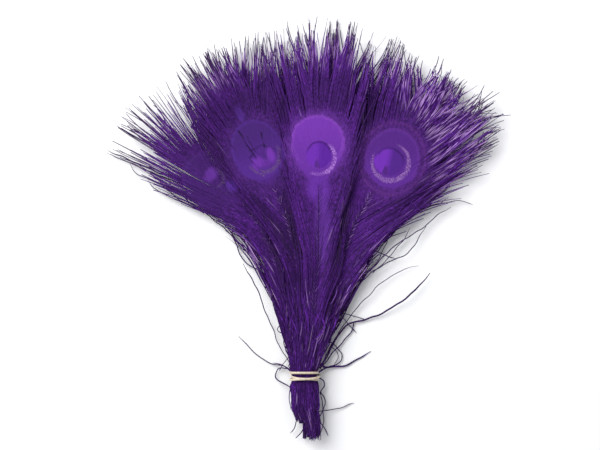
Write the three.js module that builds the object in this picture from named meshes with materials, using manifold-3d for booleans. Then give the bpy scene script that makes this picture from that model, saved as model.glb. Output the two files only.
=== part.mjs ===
// A bunch of seven peacock eye feathers, held by a rubber band and lying flat.
// Millimetres. +Y points from the cut stems to the feather tips, +Z up from the surface.
import * as THREE from 'three';
import { mergeVertices } from 'three/addons/utils/BufferGeometryUtils.js';
import Module from 'manifold-3d';

const wasm = await Module();
wasm.setup();

// Middle of the whole bunch in the frame that the places below are given in
const ORIGIN = new THREE.Vector3(-2.4, 1.55, 0);

// The tie
const TIE_Y = -104.4;
const TIE_X = -3.5;
const STEM_PITCH_X = 5.4;
const STEM_HALF_WIDTH = 2.45;
const STEM_HALF_HEIGHT = 1.95;
const ROW_Z = [5.2, 9.5, 13.8];

// The pile of feathers above the tie
const FIRST_SHAFT_Z = 1.0;
const PITCH_Z = 2.3;
const SPREAD_LENGTH = 30;
const SLIM_LENGTH = 60;
const SHAFT_RADIUS = 1.0;
const SHAFT_TIP_RADIUS = 0.45;
const SHAFT_SIDES = 8;
const SHAFT_STEPS = 18;
const SHAFT_PAST_EYE = 8;

// The fan is flat in the middle, and its outer tips lift and lie closer together
const FAN_MIDDLE = new THREE.Vector2(0, 58);
const FLAT_RADIUS = 60;
const FAN_RADIUS = 150;
const EDGE_LIFT = 5;
const TIP_SQUEEZE = 0.4;

// One side of a vane, out from the shaft and along it from the eye: each barb runs from ROOTS to TIPS
const TIPS = [[0, 88], [32, 87], [64, 72], [56, 32], [42, -8], [25, -48], [16, -92], [6, -116]];
const ROOTS = [8, -6, -40, -70, -95, -118, -132, -140];
const BARB_BOW = -0.015;

// Locks, the pointed groups of barbs
const LOCKS_PER_SIDE = 5;
const NOTCH = 0.68;
const STATIONS = [0, 0.25, 0.5, NOTCH, 0.8, 0.92, 1];
const LOCK_UNEVENNESS = 0.07;

// Faces of a vane, up from the middle of the shaft
const UNDERSIDE = -1.0;
const RIDGE_TOP = 0.8;
const VALLEY_TOP = -0.4;
const TIP_TOP = -0.45;

// The rubber band
const BAND_TURNS = 3;
const BAND_STEPS_PER_TURN = 28;
const BAND_HALF_WIDTH = 9.35;
const BAND_HALF_HEIGHT = 7.3;
const BAND_SQUARENESS = 3.2;
const BAND_SPREAD = 2.9;
const BAND_STACK = 0.8;
const STRAND_WIDTH = 1.8;
const STRAND_THICKNESS = 1.0;
const STRAND_SIDES = 6;

// The feathers from the surface up. slot is the place across the tie, counted in stems. route is the
// shaft from the tie to the eye, the last point. crown scales the vane past the eye, left and right its sides.
const FEATHERS = [
  { name: 'feather_center_back', layer: 0, row: 0, slot: 0, cutY: -150, crown: 0.97, left: 0.95, right: 0.95,
    route: [[2.5, -50], [9, 8], [14.8, 67]] },
  { name: 'feather_left_back', layer: 1, row: 0, slot: -1, cutY: -135, crown: 0.68, left: 0.55, right: 0.9,
    route: [[-11.9, -57], [-21, -6], [-34, 37], [-50, 78]] },
  { name: 'feather_right_back', layer: 2, row: 0, slot: 1, cutY: -144, crown: 0.72, left: 0.9, right: 0.85,
    route: [[15, -57], [31, -15], [51, 20], [74, 58]] },
  { name: 'feather_far_left', layer: 3, row: 1, slot: -1, cutY: -136, crown: 0.96, left: 0.5, right: 0.85,
    route: [[-14, -64], [-19.5, -38], [-29, -9], [-42, 12], [-68, 34]] },
  { name: 'feather_right_front', layer: 4, row: 1, slot: 1, cutY: -143, crown: 0.97, left: 0.9, right: 0.94,
    route: [[11.2, -64], [22.7, -21], [34.2, 8], [58, 49]] },
  { name: 'feather_left_front', layer: 5, row: 2, slot: -0.5, cutY: -138, crown: 1.02, left: 0.66, right: 0.9,
    route: [[-6.1, -50], [-7.6, -24.5], [-15, 5], [-34, 53]] },
  { name: 'feather_center_front', layer: 6, row: 2, slot: 0.5, cutY: -148, crown: 1.12, left: 0.6, right: 0.62,
    route: [[3.2, -47], [6.1, -21], [6.4, 8], [6.8, 55.8]] },
];

const VANE_COLOR = 0x47216d;
const BAND_COLOR = 0xe6d9bd;

const clamp01 = (value) => Math.min(1, Math.max(0, value));
const smooth = (value) => clamp01(value) ** 2 * (3 - 2 * clamp01(value));
const mix = THREE.MathUtils.lerp;

// A fixed run of numbers from 0 to 1, so that every build gives the same locks
function seededNumbers(seed) {
  let state = seed;
  return () => {
    state = (state * 16807) % 2147483647;
    return state / 2147483647;
  };
}

// Height of the middle of a feather's shaft and of its vane over a point of the surface
function shaftHeight(feather, x, y) {
  const spread = smooth((y - TIE_Y) / SPREAD_LENGTH);
  const away = Math.hypot(x - FAN_MIDDLE.x, Math.max(0, y - FAN_MIDDLE.y));
  const outward = smooth((away - FLAT_RADIUS) / (FAN_RADIUS - FLAT_RADIUS));
  const piled = FIRST_SHAFT_Z + PITCH_Z * feather.layer * (1 - TIP_SQUEEZE * outward);
  return mix(ROW_Z[feather.row], piled, spread) + EDGE_LIFT * outward;
}

// The shaft's line on the surface, from the cut end through the tie to the eye
function shaftLine(feather) {
  const tieX = TIE_X + STEM_PITCH_X * feather.slot;
  const below = new THREE.Vector3(tieX, feather.cutY, 0);
  const tie = new THREE.Vector3(tieX, TIE_Y, 0);
  const above = feather.route.map(([x, y]) => new THREE.Vector3(x, y, 0));
  return new THREE.CatmullRomCurve3([below, tie, ...above], false, 'centripetal');
}

// Point beside the shaft: out to its right, and along it from the eye
function besideShaft(line, length, out, along) {
  const onLine = clamp01((length + along) / length);
  const point = line.getPointAt(onLine);
  const tangent = line.getTangentAt(onLine);
  const past = Math.max(0, along);
  return new THREE.Vector2(
    point.x + tangent.x * past + tangent.y * out,
    point.y + tangent.y * past - tangent.x * out,
  );
}

// Closed solid from rings of points, each ring running the same way round
function solidFromRings(rings, closed) {
  const sides = rings[0].length;
  const positions = rings.flat().flatMap((point) => [point.x, point.y, point.z]);
  const faces = [];
  const count = closed ? rings.length : rings.length - 1;
  for (let ring = 0; ring < count; ring += 1) {
    const here = ring * sides;
    const next = ((ring + 1) % rings.length) * sides;
    for (let side = 0; side < sides; side += 1) {
      const turn = (side + 1) % sides;
      faces.push(here + side, here + turn, next + turn, here + side, next + turn, next + side);
    }
  }
  if (!closed) {
    const last = (rings.length - 1) * sides;
    for (let side = 1; side < sides - 1; side += 1) {
      faces.push(0, side + 1, side, last, last + side, last + side + 1);
    }
  }
  const geometry = new THREE.BufferGeometry();
  geometry.setAttribute('position', new THREE.Float32BufferAttribute(positions, 3));
  geometry.setIndex(faces);
  return geometry;
}

// The shaft: matted with barbs and wide at the tie, slim above it, with a flat cut end
function shaftSolid(feather, line, length) {
  const rings = [];
  for (let step = 0; step <= SHAFT_STEPS; step += 1) {
    const along = mix(-length, SHAFT_PAST_EYE, (step / SHAFT_STEPS) ** 0.9);
    const middle = besideShaft(line, length, 0, along);
    const slimmed = smooth((middle.y - TIE_Y) / SLIM_LENGTH);
    const lowered = smooth((middle.y - TIE_Y) / SPREAD_LENGTH);
    const radius = mix(SHAFT_RADIUS, SHAFT_TIP_RADIUS, smooth((along + length) / length));
    const halfWidth = mix(STEM_HALF_WIDTH, radius, slimmed);
    const halfHeight = mix(STEM_HALF_HEIGHT, radius, lowered);
    const height = shaftHeight(feather, middle.x, middle.y);
    const ring = [];
    for (let side = 0; side < SHAFT_SIDES; side += 1) {
      const angle = ((side + 0.5) / SHAFT_SIDES) * 2 * Math.PI;
      const corner = besideShaft(line, length, -Math.cos(angle) * halfWidth, along);
      ring.push(new THREE.Vector3(corner.x, corner.y, height + Math.sin(angle) * halfHeight));
    }
    rings.push(ring);
  }
  return solidFromRings(rings, false);
}

// Place on a smooth line through listed points, from 0 at the first to 1 at the last
function between(values, share) {
  const scaled = clamp01(share) * (values.length - 1);
  const first = Math.min(Math.floor(scaled), values.length - 2);
  return mix(values[first], values[first + 1], scaled - first);
}

// Barb path: share runs from the crown, 0, to the base of the vane, 1. reach runs from root to tip.
function barbPoint(feather, line, length, side, share, reach, stretch) {
  const width = side > 0 ? feather.right : feather.left;
  const root = between(ROOTS, share);
  const tipAlong = between(TIPS.map((tip) => tip[1]), share);
  const tipOut = between(TIPS.map((tip) => tip[0]), share) * width;
  const crowned = tipAlong > 0 ? tipAlong * feather.crown : tipAlong;
  const outward = tipOut * stretch;
  const onward = (crowned - root) * stretch;
  const slant = Math.hypot(outward, onward);
  const bow = BARB_BOW * slant * 4 * reach * (1 - reach) * Math.min(1, tipOut / 30);
  const out = outward * reach - (bow * onward) / slant;
  const along = root + onward * reach + (bow * outward) / slant;
  return besideShaft(line, length, side * out, along);
}

// The two sides of the vane as one plate of ridged locks, each running out to its own point
function vaneSolid(feather, line, length) {
  const random = seededNumbers(1000 + feather.layer * 77);
  const rows = 2 * LOCKS_PER_SIDE + 1;
  const vertices = [];
  const known = new Map();
  const upper = [];

  function vertex(point, top) {
    const key = `${point.x.toFixed(3)} ${point.y.toFixed(3)}`;
    if (!known.has(key)) {
      known.set(key, vertices.length);
      vertices.push({ x: point.x, y: point.y, top });
    }
    return known.get(key);
  }

  function strip(ridge, edge, leftHanded) {
    for (let station = 0; station + 1 < ridge.length; station += 1) {
      const corners = [ridge[station], edge[station], edge[station + 1], ridge[station + 1]];
      for (const [a, b, c] of [[0, 1, 2], [0, 2, 3]]) {
        const face = [corners[a], corners[b], corners[c]];
        if (new Set(face).size === 3) {
          upper.push(leftHanded ? face : face.reverse());
        }
      }
    }
  }

  function lock(ridgeSide, ridgeRow, edges) {
    const stretch = 1 + LOCK_UNEVENNESS * (2 * random() - 1);
    const ridgePoints = STATIONS.map((reach) =>
      barbPoint(feather, line, length, ridgeSide, ridgeRow / rows, reach, mix(1, stretch, reach)));
    const ridge = ridgePoints.map((point, index) =>
      vertex(point, mix(RIDGE_TOP, TIP_TOP, STATIONS[index] ** 2)));
    for (const { side, row } of edges) {
      const edge = STATIONS.map((reach, index) => {
        const border = barbPoint(feather, line, length, side, row / rows, reach, 1);
        const closing = clamp01((reach - NOTCH) / (1 - NOTCH)) ** 1.3;
        return vertex(border.lerp(ridgePoints[index], closing), mix(VALLEY_TOP, TIP_TOP, reach));
      });
      const outwards = side > 0 ? row > ridgeRow : row < ridgeRow;
      strip(ridge, edge, outwards);
    }
  }

  lock(1, 0, [{ side: 1, row: 1 }, { side: -1, row: 1 }]);
  for (const side of [1, -1]) {
    for (let row = 2; row < rows; row += 2) {
      lock(side, row, [{ side, row: row - 1 }, { side, row: row + 1 }]);
    }
  }
  return thickened(feather, vertices, upper);
}

// A plate from its upper faces, with the same faces below and a wall round every free edge
function thickened(feather, vertices, upper) {
  const count = vertices.length;
  const positions = [];
  for (const face of ['top', 'under']) {
    for (const { x, y, top } of vertices) {
      const height = shaftHeight(feather, x, y);
      positions.push(x, y, height + (face === 'top' ? top : UNDERSIDE));
    }
  }
  const faces = [];
  const edges = new Set(upper.flatMap(([a, b, c]) => [`${a} ${b}`, `${b} ${c}`, `${c} ${a}`]));
  for (const [a, b, c] of upper) {
    faces.push(a, b, c, count + c, count + b, count + a);
    for (const [from, to] of [[a, b], [b, c], [c, a]]) {
      if (!edges.has(`${to} ${from}`)) {
        faces.push(from, count + from, count + to, from, count + to, to);
      }
    }
  }
  const geometry = new THREE.BufferGeometry();
  geometry.setAttribute('position', new THREE.Float32BufferAttribute(positions, 3));
  geometry.setIndex(faces);
  return geometry;
}

function toManifold(geometry) {
  const merged = mergeVertices(geometry, 1e-4);
  const vertProperties = new Float32Array(merged.attributes.position.array);
  const triVerts = new Uint32Array(merged.index.array);
  return new wasm.Manifold(new wasm.Mesh({ numProp: 3, vertProperties, triVerts }));
}

function toGeometry(manifold) {
  const mesh = manifold.getMesh();
  const geometry = new THREE.BufferGeometry();
  geometry.setAttribute('position', new THREE.Float32BufferAttribute(mesh.vertProperties, 3));
  geometry.setIndex(Array.from(mesh.triVerts));
  return geometry;
}

function feather(spec) {
  const line = shaftLine(spec);
  const length = line.getLength();
  const shaft = toManifold(shaftSolid(spec, line, length));
  const vane = toManifold(vaneSolid(spec, line, length));
  const material = new THREE.MeshStandardMaterial({ color: VANE_COLOR, roughness: 0.75, metalness: 0 });
  const mesh = new THREE.Mesh(toGeometry(shaft.add(vane)), material);
  mesh.name = spec.name;
  return mesh;
}

// One loop of rubber wound three times. Its strands turn round each other as they go round the stems,
// so that on top one lies apart and the other two cross.
function rubberBand() {
  const steps = BAND_TURNS * BAND_STEPS_PER_TURN;
  const middleZ = (ROW_Z[0] + ROW_Z[ROW_Z.length - 1]) / 2;
  const power = 2 / BAND_SQUARENESS;
  const rounded = (value) => Math.sign(value) * Math.abs(value) ** power;
  const rings = [];
  for (let step = 0; step < steps; step += 1) {
    const around = (step / BAND_STEPS_PER_TURN) * 2 * Math.PI;
    const phase = (around - Math.PI / 2) / BAND_TURNS;
    const out = new THREE.Vector3(Math.cos(around), 0, Math.sin(around));
    const lift = BAND_STACK * (1 + Math.sin(phase));
    const center = new THREE.Vector3(
      TIE_X + BAND_HALF_WIDTH * rounded(Math.cos(around)),
      TIE_Y + BAND_SPREAD * Math.cos(phase),
      middleZ + BAND_HALF_HEIGHT * rounded(Math.sin(around)),
    ).addScaledVector(out, lift);
    const ring = [];
    for (let side = 0; side < STRAND_SIDES; side += 1) {
      const angle = (side / STRAND_SIDES) * 2 * Math.PI;
      const point = center.clone().addScaledVector(out, (Math.cos(angle) * STRAND_THICKNESS) / 2);
      point.y += (Math.sin(angle) * STRAND_WIDTH) / 2;
      ring.push(point);
    }
    rings.push(ring);
  }
  const material = new THREE.MeshStandardMaterial({ color: BAND_COLOR, roughness: 0.35, metalness: 0 });
  const mesh = new THREE.Mesh(solidFromRings(rings, true), material);
  mesh.name = 'rubber_band';
  return mesh;
}

const bunch = new THREE.Group();
for (const spec of FEATHERS) {
  bunch.add(feather(spec));
}
bunch.add(rubberBand());
bunch.position.copy(ORIGIN).negate();
bunch.updateMatrixWorld(true);

export default bunch;
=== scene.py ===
"""A flat bunch of seven purple-dyed peacock eye feathers, held by a rubber band, on a white surface."""
import math

import bpy
import numpy as np
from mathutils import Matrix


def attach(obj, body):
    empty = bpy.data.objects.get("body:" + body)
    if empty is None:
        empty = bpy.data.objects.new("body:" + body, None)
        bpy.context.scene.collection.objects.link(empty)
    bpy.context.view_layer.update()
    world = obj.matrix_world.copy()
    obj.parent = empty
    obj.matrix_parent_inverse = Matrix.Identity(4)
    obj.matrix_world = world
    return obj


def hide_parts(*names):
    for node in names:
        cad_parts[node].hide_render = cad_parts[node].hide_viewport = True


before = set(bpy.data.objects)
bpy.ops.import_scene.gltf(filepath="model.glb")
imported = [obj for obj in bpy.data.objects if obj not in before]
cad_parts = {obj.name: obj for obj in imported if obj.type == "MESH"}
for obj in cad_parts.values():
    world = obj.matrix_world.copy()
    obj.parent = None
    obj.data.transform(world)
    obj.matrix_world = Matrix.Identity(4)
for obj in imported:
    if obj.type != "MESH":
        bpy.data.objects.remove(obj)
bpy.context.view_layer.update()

# Places are in millimetres in the frame that the feathers were laid out in. ORIGIN is its middle.
# No strand goes under LOWEST, and no barb has its own middle under LOWEST_MIDDLE.
MM = 0.001
ORIGIN = np.array([-2.4, 1.55, 0.0])
LOWEST = 0.03
LOWEST_MIDDLE = 0.3

# The tie
TIE_X, TIE_Y = -3.5, -104.4
STEM_PITCH_X = 5.4
ROW_Z = (5.2, 9.5, 13.8)

# The pile of feathers above the tie: flat in the middle, with its outer tips lifted and closer together
FIRST_SHAFT_Z, PITCH_Z = 1.0, 2.3
SPREAD_LENGTH = 30.0
FAN_MIDDLE = (0.0, 58.0)
FLAT_RADIUS, FAN_RADIUS = 60.0, 150.0
EDGE_LIFT, TIP_SQUEEZE = 5.0, 0.4

# One side of a vane, out from the shaft and along it from the eye: each barb runs from ROOTS to TIPS
TIPS = ((0, 88), (32, 87), (64, 72), (56, 32), (42, -8), (25, -48), (16, -92), (6, -116))
ROOTS = (8, -6, -40, -70, -95, -118, -132, -140)
BARB_BOW = -0.015
LOCKS_PER_SIDE = 5
# As share runs from the crown to the base, upper barbs fade in from the first of these to the second.
UPPER = (0.74, 0.5)

# The zone of the eye: its half width and half height, and its middle along the shaft from the eye
EYE_ZONE = (26.0, 31.0)
EYE_ZONE_MIDDLE = 2.0

# Long barbs that hug the stems: how far out they lie, by the place along the shaft from the eye
HUG_ALONG = (-190, -158, -135, -110, -85, -50, -20)
HUG_OUT = (2.2, 2.6, 5.5, 10.0, 15.0, 21.0, 27.0)

# The matted bundle of stems: its middle and half width at some heights of the drawing
BUNDLE_Y = (-152, -140, -128, -112, -104.4, -98, -80, -60, -40)
BUNDLE_X = (1.5, 0.2, -3.2, -3.4, -3.5, -3.6, -1.6, 1.2, 5.0)
BUNDLE_HALF = (5.0, 7.6, 9.6, 10.2, 8.4, 10.4, 14.5, 19.5, 25.0)
BUNDLE_Z, BUNDLE_DEEP = 9.3, 6.4

# The rim of the fan, an ellipse: half width, height of its middle, height over that
RIM_X, RIM_Y, RIM_TALL = 145.0, 44.0, 107.0

# Counts and sizes of strands
BARBS_PER_SIDE = 500
HUG_BARBS = 170
STATIONS = 16
BARB_WIDTH = 1.15
HAIR_WIDTH = (0.42, 0.75)
HAIR_SHARE = 0.17
# A barb turns to bare hair from SLIM_FROM of its length on. A side with more wisp than WISPY_FROM is wispy.
SLIM_FROM = 0.82
WISPY_FROM = 0.12
# The widths in LOOSE are of the bare strand, which the short barbules on it make this much wider.
LOOSE_BULK = 1.9

# The feathers, from the bottom of the pile. row and slot: place in the tie. cut_y: the cut end. crown, left
# and right: how far the barbs reach up and to the sides. route: the shaft, from the tie to the eye.
# wisp: how much nearer the shaft the barbs turn to bare hairs, left and right. curl: how curly these are.
# fibres: strands of matted stem. shade: how light the feather is. sheen: share of lower barbs with a painted
# shine.
# vees: how much painted sheen lies on the roots of its barbs. partings, if any: side, barb, from, to, width.
FEATHERS = (
    dict(name="feather_center_back", layer=0, row=0, slot=0, cut_y=-150, crown=0.97, left=0.95, right=0.95,
         route=((2.5, -50), (9, 8), (14.8, 67)), wisp=(0.06, 0.08), curl=0.8, fibres=50, shade=0.8,
         sheen=0.02, vees=0.3),
    dict(name="feather_left_back", layer=1, row=0, slot=-1, cut_y=-135, crown=0.68, left=0.55, right=0.9,
         route=((-11.9, -57), (-21, -6), (-34, 37), (-50, 78)), wisp=(0.16, 0.16), curl=0.5, fibres=50,
         shade=0.85, sheen=0.12, vees=0.3),
    dict(name="feather_right_back", layer=2, row=0, slot=1, cut_y=-144, crown=0.72, left=0.9, right=0.85,
         route=((15, -57), (31, -15), (51, 20), (74, 58)), wisp=(0.0, 0.06), curl=2.2, fibres=50, shade=1.0,
         sheen=0.25, vees=0.3),
    dict(name="feather_far_left", layer=3, row=1, slot=-1, cut_y=-136, crown=0.96, left=0.5, right=0.85,
         route=((-14, -64), (-19.5, -38), (-29, -9), (-42, 12), (-68, 34)), wisp=(0.32, 0.24), curl=0.6,
         fibres=130, shade=0.9, sheen=0.12, vees=0.35),
    dict(name="feather_right_front", layer=4, row=1, slot=1, cut_y=-143, crown=0.97, left=0.9, right=0.94,
         route=((11.2, -64), (22.7, -21), (34.2, 8), (58, 49)), wisp=(0.03, 0.04), curl=1.4, fibres=150,
         shade=1.0, sheen=0.2, vees=0.5,
         partings=((1, 0.47, 0.25, 0.8, 1.0), (1, 0.6, 0.3, 0.8, 0.8), (1, 0.7, 0.3, 0.9, 0.7))),
    dict(name="feather_left_front", layer=5, row=2, slot=-0.5, cut_y=-138, crown=1.02, left=0.66, right=0.9,
         route=((-6.1, -50), (-7.6, -24.5), (-15, 5), (-34, 53)), wisp=(0.16, 0.1), curl=0.6, fibres=190,
         shade=0.82, sheen=0.03, vees=0.4,
         partings=((-1, 0.17, 0.05, 0.5, 0.8), (-1, 0.21, 0.05, 0.5, 0.7), (1, 0.14, 0.0, 0.4, 0.5),
                   (-1, 0.55, 0.1, 0.9, 1.0), (-1, 0.68, 0.1, 0.8, 0.8))),
    dict(name="feather_center_front", layer=6, row=2, slot=0.5, cut_y=-148, crown=1.12, left=0.6,
         right=0.62, route=((3.2, -47), (6.1, -21), (6.4, 8), (6.8, 55.8)), wisp=(0.03, 0.03), curl=0.8,
         fibres=200, shade=1.0, sheen=0.03, vees=0.15),
)

# Painted shade along valleys, where one feather dips under the next, and along dark partings: route, half
# width, depth
VALLEYS = (
    (((-19.1, 96), (-19.1, 84), (-20.5, 51), (-16.9, 22), (-14, -10), (-6.8, -39)), 4.5, 0.42),
    (((46, 100), (45, 91), (36.4, 68), (30.6, 40), (27, 19), (20.5, -6), (13.3, -35)), 4.5, 0.42),
    (((-58.7, 47.5), (-38.5, 22.3), (-24.8, 4.3), (-12.6, -17.3)), 3.5, 0.4),
    (((43.6, 22.3), (50.8, 25.9), (61.6, 29.5), (76, 31.3), (86.8, 32.4)), 1.5, 0.6),
    (((43.6, 10), (54.4, 17.3), (72.4, 24.5), (86.8, 28)), 1.3, 0.45),
    (((-56, 74), (-49, 62), (-41, 50)), 0.9, 0.5),
)

# Clefts in the fringe: where each starts, where it meets the rim, and half its width there
CLEFTS = (
    ((-14.8, 112), (-12, 149), 2.8),
    ((4.5, 114), (9, 147), 2.8),
    ((21.5, 110), (24.5, 146), 3.2),
    ((46.4, 96), (51, 134), 4.2),
    ((82.4, 105), (86.8, 124.6), 2.4),
    ((-84, 60), (-99, 105), 2.8),
    ((-25.5, 122), (-27, 142), 1.6),
    ((-52, 106), (-58, 132), 2.2),
    ((-70, 100), (-79, 120), 2.0),
)

# Fans of strands at the lower edges, painted pale where light comes through: how many, and the routes of the
# first and the last
PALE_LIT_FANS = {
    "feather_right_front": (
        11, ((9, -86), (22.7, -50), (40.7, -19.5)), ((6.1, -87.1), (25.6, -49.7), (44.3, -26.6))),
    "feather_far_left": (
        7, ((-24.1, -53.3), (-37.1, -24.5), (-50, 2.2)), ((-27, -42.5), (-41, -17.3), (-54.4, 4.3))),
}

# Strands that lie loose beside the bunch: width at the root and at the tip, grey share, x and y of the route
LOOSE = {
    "feather_center_back": (
        (0.5, 0.35, 0.6, (-4, -144, -3.5, -146.9, -3, -150.3)),
        (0.45, 0.35, 0.5, (4.7, -143.3, 3.2, -146.9, 0.6, -150.5)),
    ),
    "feather_left_back": (
        (0.5, 0.3, 0.4, (-13.7, -100.8, -19.5, -97.2, -26.7, -95.6)),
        (0.42, 0.5, 0.1, (-14.8, -99.4, -20.5, -99.4, -23, -100.4, -24.5, -105.9, -19.5, -110.1,
         -13, -113.8)),
        (0.45, 0.4, 0.3, (-37.1, -28.1, -41.8, -25.8, -46.6, -22.7, -50.2, -17.6, -52.6, -9.9,
         -55.9, -1.6, -55.6, 4.7, -60.1, 13)),
        (0.4, 0.35, 0.3, (-42.1, -16.9, -50.2, -11.1, -56.7, -1.1, -60.9, 3.8, -70.2, 9.4)),
        (0.4, 0.35, 0.2, (-38.5, -16.6, -44.8, -5.8, -47.2, 0.8, -55.1, 10.1)),
    ),
    "feather_right_back": (
        (0.35, 0.35, 0.6, (22.7, -59.4, 30.7, -61.4, 40.7, -64.1)),
        (0.42, 0.3, 0.8, (11.2, -91.4, 18.4, -77.8, 22.9, -71.3, 27.9, -63.9, 34.8, -55.2, 43.1, -46.3,
         54.1, -35.9, 62.4, -31.1, 72.7, -26.3, 79.3, -25.2)),
        (0.5, 0.5, 0.3, (32.2, -66.6, 30.1, -73.4, 22.9, -81.6, 14.6, -90.9, 8.3, -99.4)),
        (0.3, 0.3, 0.6, (15.5, -82.8, 19.1, -86.8, 21, -92, 17.6, -97.2)),
        (0.35, 0.35, 0.5, (8, -115.9, 8.9, -123.1, 9.9, -131.3, 10.2, -138.5, 8.4, -144.7,
         6.8, -147.8)),
        (0.4, 0.35, 0.9, (4.7, -131.2, 10.4, -129.7, 19.8, -129.2, 24.9, -127.2, 32.2, -125.1)),
        (0.4, 0.4, 0.2, (42.8, -11.9, 52.7, -16.6, 62.4, -20.1)),
        (0.35, 0.3, 0.5, (45.7, -30.2, 52.7, -24.2, 62.4, -13.2, 70.6, -2.9, 72.7, 1.9)),
        (0.4, 0.25, 0.9, (78.1, 13.7, 85.1, 16.8, 95.4, 20.6, 100.9, 24)),
        (0.4, 0.3, 0.3, (43.6, -29.5, 51.5, -18, 55.4, -9, 57.5, 0.7)),
        (0.35, 0.25, 0.9, (99, 20.2, 109.8, 21.6, 118.4, 19.4)),
    ),
    "feather_far_left": (
        (0.45, 0.3, 0.8, (-12.6, -101.2, -19.5, -97.6, -26.7, -96.1, -36, -91.4, -42.2, -86.3,
         -51.5, -76)),
        (0.35, 0.4, 0.4, (-17.6, -64.8, -23.1, -70.3, -22.5, -72.6, -19, -74.4, -18.6, -80.6,
         -15.3, -89.9, -11.9, -98.6)),
        (0.45, 0.35, 0.6, (-8.3, -133.9, -9.1, -136.4, -11.2, -142.6, -13.8, -146.2)),
        (0.5, 0.45, 0.4, (-36.4, -28.8, -40, -19.4, -45.4, -12.9, -53.8, -6, -59.1, -0.4, -66.9, 6.1,
         -72.9, 11.6, -78.8, 15.5)),
        (0.5, 0.45, 0.3, (-37.4, -20.9, -43, -11.1, -49, -1.6, -53.1, 5, -59.1, 9.4, -68.1, 11.8,
         -81.7, 16.6)),
        (0.5, 0.5, 0.1, (-23.3, -61.9, -27.1, -49.3, -31.3, -39.7, -39.2, -25.2)),
        (0.6, 0.5, 0.7, (-81, 31.7, -92.4, 36.3, -106.2, 41.1, -117.2, 45.9, -131.7, 52.1,
         -146.2, 58.3)),
        (0.55, 0.4, 0.6, (-80.3, 29.5, -92.4, 34.2, -106.2, 39.2, -117.7, 43.9, -132.1, 50.4,
         -146.9, 56.2)),
        (0.45, 0.3, 0.8, (-81, 23, -94.7, 29.5, -106.2, 33.6, -118.6, 38.4, -126.9, 43.2,
         -130.1, 48.6)),
        (0.5, 0.3, 0.8, (-76, 13, -85.5, 17.7, -95.9, 22.5, -106.2, 27.4, -113.1, 31.5, -116.9, 37)),
        (0.45, 0.35, 0.8, (-83.9, 16.9, -92.4, 21.8, -99.3, 26.6, -106.2, 32.8, -109.7, 38.4)),
        (0.4, 0.3, 0.7, (-82.4, 17.6, -91.1, 24.5, -97.6, 30.2, -102.6, 36)),
    ),
    "feather_right_front": (
        (0.75, 0.7, 0.5, (7.6, -99.4, 11.9, -92, 19.1, -78.5, 24.9, -70.3, 31.1, -66.4, 41.7, -63.9,
         52.1, -60, 61, -54.5, 69.3, -49, 78.2, -40.8, 87.2, -30.7)),
        (0.32, 0.4, 0.7, (21.2, -58.3, 23.9, -61.6, 28.4, -67.7, 33.5, -73.8)),
        (0.4, 0.45, 0.4, (14, -79.9, 17.6, -82.4, 20.8, -85.8, 23.4, -88.9, 22.9, -93, 19.2, -96.6,
         13.5, -98.7, 6.8, -101.5)),
        (0.9, 0.45, 0.0, (4.7, -92.2, 7.8, -96.1, 11.2, -98.7, 19.8, -98.2, 28, -96.6, 36.3, -92.5,
         44.6, -87.6)),
        (0.5, 0.4, 0.2, (4.7, -105.1, 7.2, -106.3, 10.4, -108.5, 11, -112.7, 8, -116.3, 10.4, -119.9,
         11.3, -124.1, 9.4, -129.2, 6.8, -135.4, 5.4, -140.4)),
        (0.45, 0.35, 0.4, (5.4, -139, 4.7, -144, 2.5, -148.3)),
        (0.5, 0.4, 0.3, (32.8, -38.2, 41.7, -24.8, 48.6, -15.3, 58.9, -3.5, 72.4, 10.8)),
        (0.5, 0.35, 0.6, (37.8, -33.8, 48.6, -23.5, 58.9, -13.2, 69.3, -5.6, 84.4, 4, 92.7, 11.6,
         102.3, 16.8)),
        (0.5, 0.35, 0.5, (24.1, -59, 31.3, -46.3, 37.6, -36.6, 45.1, -29.7, 52.7, -24.9, 62.4, -20.1,
         67.9, -18, 72.7, -14.5, 78.2, -6.3, 85, 5)),
        (0.5, 0.5, 0.2, (32.8, -24.1, 35.3, -28.1, 37.4, -31.7)),
    ),
    "feather_left_front": (
        (0.32, 0.5, 0.8, (-12.7, -99.7, -16.4, -92, -22.6, -81.1, -27.7, -68.4, -32.4, -56.2,
         -37.7, -42.2, -43, -31.4, -48.4, -23.6)),
        (0.3, 0.3, 0.4, (-22, -100.8, -16.4, -93, -14, -89.3)),
        (0.6, 0.5, 0.0, (-20.9, -64.8, -25.1, -52.3, -29.3, -40.3, -35.9, -28.1, -38.5, -23)),
    ),
    "feather_center_front": (
        (0.7, 0.6, 0.0, (4.7, -103.3, 7.6, -101.2, 12.6, -98.9, 19.8, -98.1)),
        (0.4, 0.45, 0.5, (3.2, -131.8, 6.8, -136.8, 10.4, -142.6, 13.5, -148.3)),
        (0.5, 0.35, 0.6, (-4, -141.8, -6.1, -144.7, -10.2, -150.3)),
    ),
}

# The section of a barb
PRISM = ((-1.0, 0.0), (0.0, 1.0), (1.0, 0.0))

# What the camera sees, in metres: how wide, round which point, and at what height over the surface
VIEW_WIDTH = 0.432
VIEW_MIDDLE = (-0.00444, 0.00277)
VIEW_HEIGHT = 0.010


def smooth(value):
    value = np.clip(value, 0.0, 1.0)
    return value * value * (3 - 2 * value)


def mix(low, high, share):
    return low + (high - low) * share


def ramp(value, start, end):
    return smooth((value - start) / (end - start))


def round_section(sides):
    """Points round a unit circle, from the left over the top."""
    angles = np.arange(sides) * 2 * np.pi / sides
    return tuple((-math.cos(a), math.sin(a)) for a in angles)


def column(random, many, low, high):
    """One random number for each strand, set to go with the stations along it."""
    return random.uniform(low, high, many)[:, None]


def chosen(random, many, part, low, high):
    """A random number for each strand of a random part of them, and 0 for the rest."""
    return np.where(column(random, many, 0, 1) < part, column(random, many, low, high), 0)


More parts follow.
